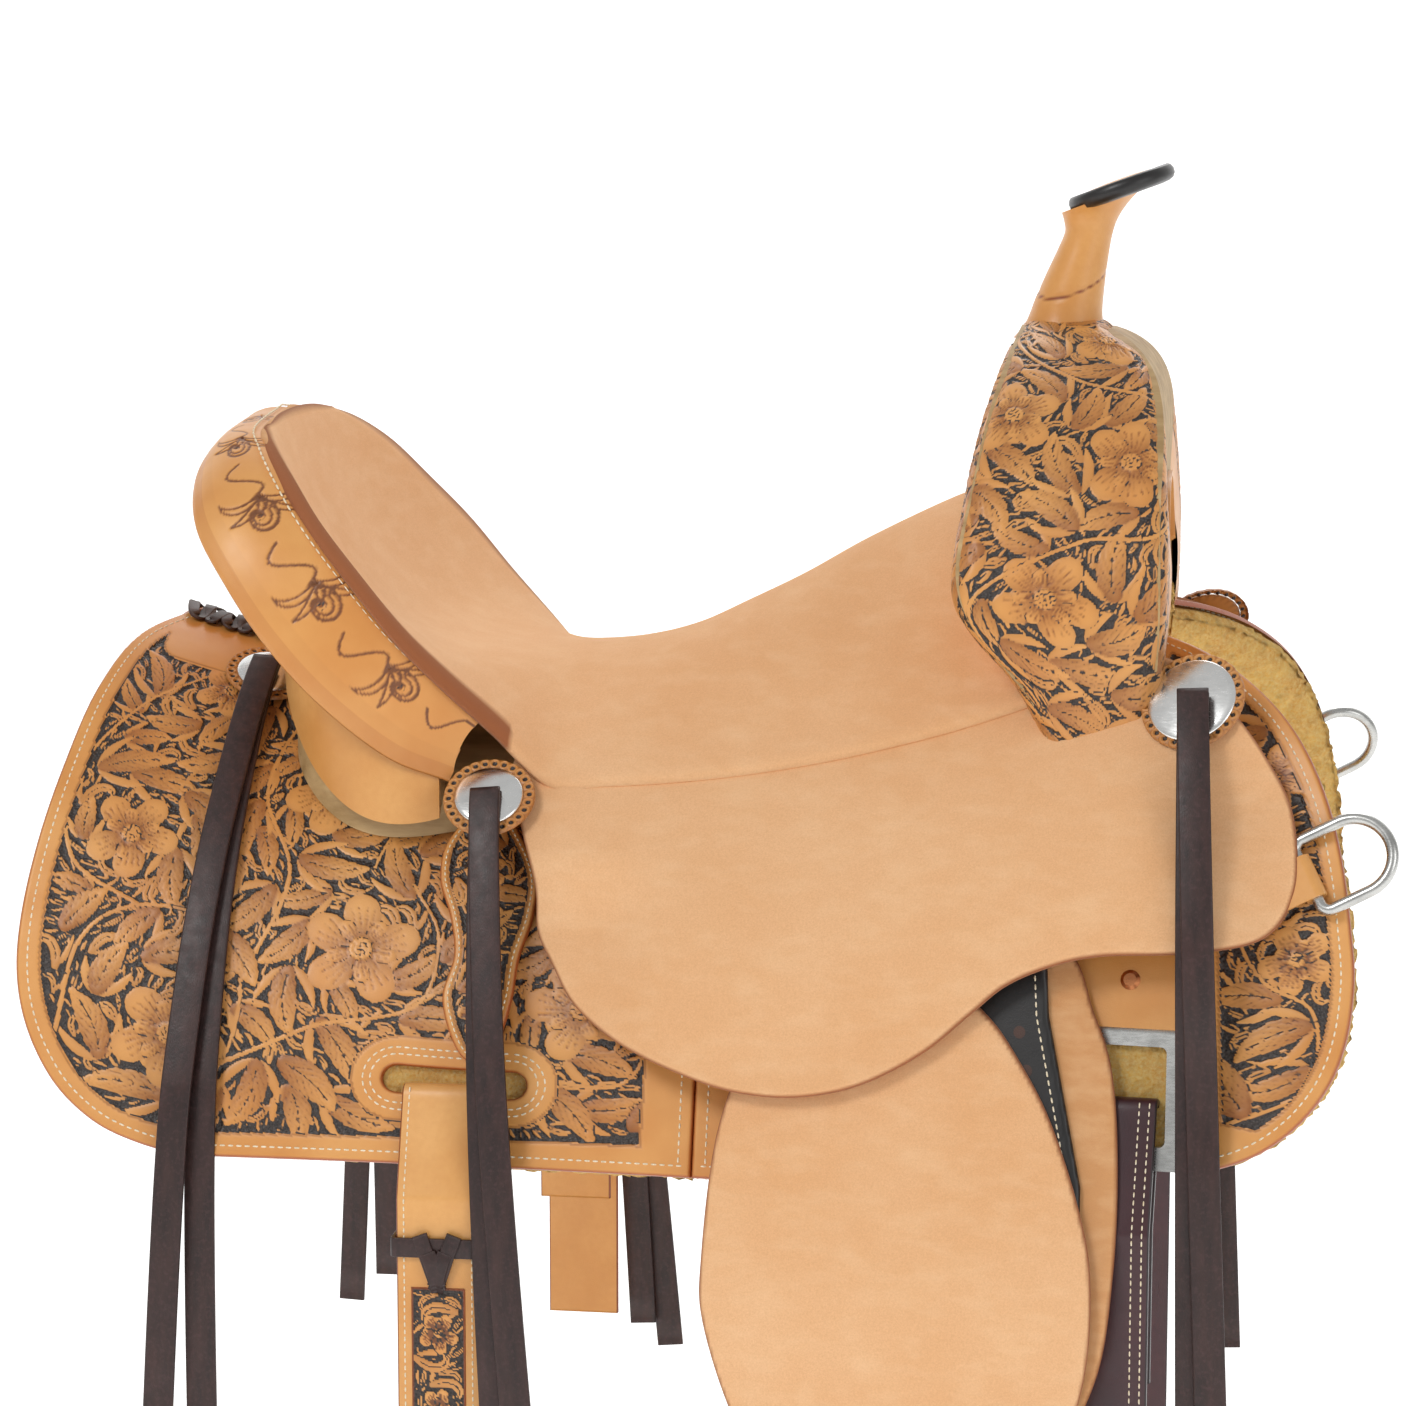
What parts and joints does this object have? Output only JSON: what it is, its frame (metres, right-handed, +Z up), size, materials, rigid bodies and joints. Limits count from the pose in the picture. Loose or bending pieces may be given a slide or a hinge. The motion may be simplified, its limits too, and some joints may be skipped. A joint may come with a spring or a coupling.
{
  "type": "western riding saddle",
  "caption": "Western riding saddle with carved leather skirts, roughout seat and fenders, horn, wool lining, hanging stirrups, rigging and tie strings.",
  "frame": {"origin": "centre plane, level with the underside of the wool at the lowest point of the spine line, 60 mm ahead of that point", "axes": "+X towards the horse's head, +Y to the rider's left, +Z up"},
  "size_m": [0.7065, 0.5858, 0.9721],
  "materials": {
    "tooled_leather": "floral carved leather, golden tan with dark backgrounding",
    "rough_leather": "suede-like flesh side out",
    "tan_leather": "smooth oiled",
    "black_leather": "smooth, white stitching",
    "burgundy_leather": "latigo, satin",
    "string_leather": "waxed latigo",
    "dark_leather": "smooth dark brown",
    "wool": "dense sheepskin fleece",
    "felt_pad": "felt",
    "tree_wood": "rawhide covered",
    "steel": "stainless",
    "silver": "polished",
    "copper": "domed, polished"
  },
  "bodies": {
    "saddle": {"tree_bars": "tree_wood", "tree_fork": "tree_wood", "tree_cantle": "tree_wood", "horn_core": "steel", "horn_wrap": "tan_leather", "horn_cap_cover": "tan_leather", "horn_edge_binding": "black_leather", "fork_cover": "tooled_leather", "gullet_cover": "tan_leather", "cantle_back": "tooled_leather", "ground_seat": "dark_leather", "seat_pad": "felt_pad", "seat_leather": "rough_leather", "cantle_roll": "tooled_leather", "skirt_lacing": "dark_leather", "rigging_rivets": "copper", "rigging_plates": "steel", "rigging_panels": "tan_leather", "dee_keepers": "tan_leather", "conchos": "silver", "concho_rosettes": "tan_leather", "billet_tabs": "tooled_leather", "rear_skirt_right": "tooled_leather", "front_skirt_right": "tooled_leather", "wool_lining_right": "wool", "strings_mid_right": "string_leather", "strings_front_right": "string_leather", "strings_rear_right": "string_leather", "rear_skirt_left": "tooled_leather", "front_skirt_left": "tooled_leather", "wool_lining_left": "wool", "strings_mid_left": "string_leather", "strings_front_left": "string_leather", "strings_rear_left": "string_leather"},
    "fender_right": {"leather_backing_right": "rough_leather", "stirrup_leather_right": "black_leather", "fender_right": "rough_leather", "buckle_right": "steel", "hobble_strap_right": "tan_leather"},
    "stirrup_right": {"stirrup_core_right": "tree_wood", "stirrup_cover_right": "tan_leather", "stirrup_bolt_right": "steel", "stirrup_tread_right": "black_leather"},
    "breast_dee_right": {"breast_dee_right": "steel"},
    "flank_billet_right": {"flank_billet_right": "tooled_leather", "billet_lace_right": "dark_leather"},
    "front_billet_right": {"front_billet_right": "burgundy_leather"},
    "fender_left": {"leather_backing_left": "rough_leather", "stirrup_leather_left": "black_leather", "fender_left": "rough_leather", "buckle_left": "steel", "hobble_strap_left": "tan_leather"},
    "stirrup_left": {"stirrup_core_left": "tree_wood", "stirrup_cover_left": "tan_leather", "stirrup_bolt_left": "steel", "stirrup_tread_left": "black_leather"},
    "breast_dee_left": {"breast_dee_left": "steel"},
    "flank_billet_left": {"flank_billet_left": "tooled_leather", "billet_lace_left": "dark_leather"},
    "front_billet_left": {"front_billet_left": "burgundy_leather"}
  },
  "joints": [
    {"name": "fender_right_swing", "type": "hinge", "parent": "saddle", "child": "fender_right", "pos_m": [0.128, -0.19115, -0.104], "axis": [-0.0715, -0.9397, 0.3345], "range_deg": [-15, 8]},
    {"name": "stirrup_right_swing", "type": "hinge", "parent": "fender_right", "child": "stirrup_right", "pos_m": [0.158, -0.2607, -0.548], "axis": [0.9971, -0.0759, 0], "range_deg": [-45, 45]},
    {"name": "breast_dee_right_swing", "type": "hinge", "parent": "saddle", "child": "breast_dee_right", "pos_m": [0.34, -0.19387, -0.05], "axis": [-0.43, 0.3627, 0.8268], "range_deg": [-66, 0]},
    {"name": "flank_billet_right_swing", "type": "hinge", "parent": "saddle", "child": "flank_billet_right", "pos_m": [-0.094, -0.19754, -0.174], "axis": [0.013, -0.9397, 0.3418], "range_deg": [-6, 2]},
    {"name": "front_billet_right_swing", "type": "hinge", "parent": "saddle", "child": "front_billet_right", "pos_m": [0.248, -0.22075, -0.1875], "axis": [-0.11, -0.9397, 0.3238], "range_deg": [-6, 3]},
    {"name": "fender_left_swing", "type": "hinge", "parent": "saddle", "child": "fender_left", "pos_m": [0.128, 0.19115, -0.104], "axis": [0.0715, -0.9397, -0.3345], "range_deg": [-15, 8]},
    {"name": "stirrup_left_swing", "type": "hinge", "parent": "fender_left", "child": "stirrup_left", "pos_m": [0.158, 0.2607, -0.548], "axis": [-0.9971, -0.0759, 0], "range_deg": [-45, 45]},
    {"name": "breast_dee_left_swing", "type": "hinge", "parent": "saddle", "child": "breast_dee_left", "pos_m": [0.34, 0.19387, -0.05], "axis": [0.43, 0.3627, -0.8268], "range_deg": [-66, 0]},
    {"name": "flank_billet_left_swing", "type": "hinge", "parent": "saddle", "child": "flank_billet_left", "pos_m": [-0.094, 0.19754, -0.174], "axis": [-0.013, -0.9397, -0.3418], "range_deg": [-6, 2]},
    {"name": "front_billet_left_swing", "type": "hinge", "parent": "saddle", "child": "front_billet_left", "pos_m": [0.248, 0.22075, -0.1875], "axis": [0.11, -0.9397, -0.3238], "range_deg": [-6, 3]}
  ]
}
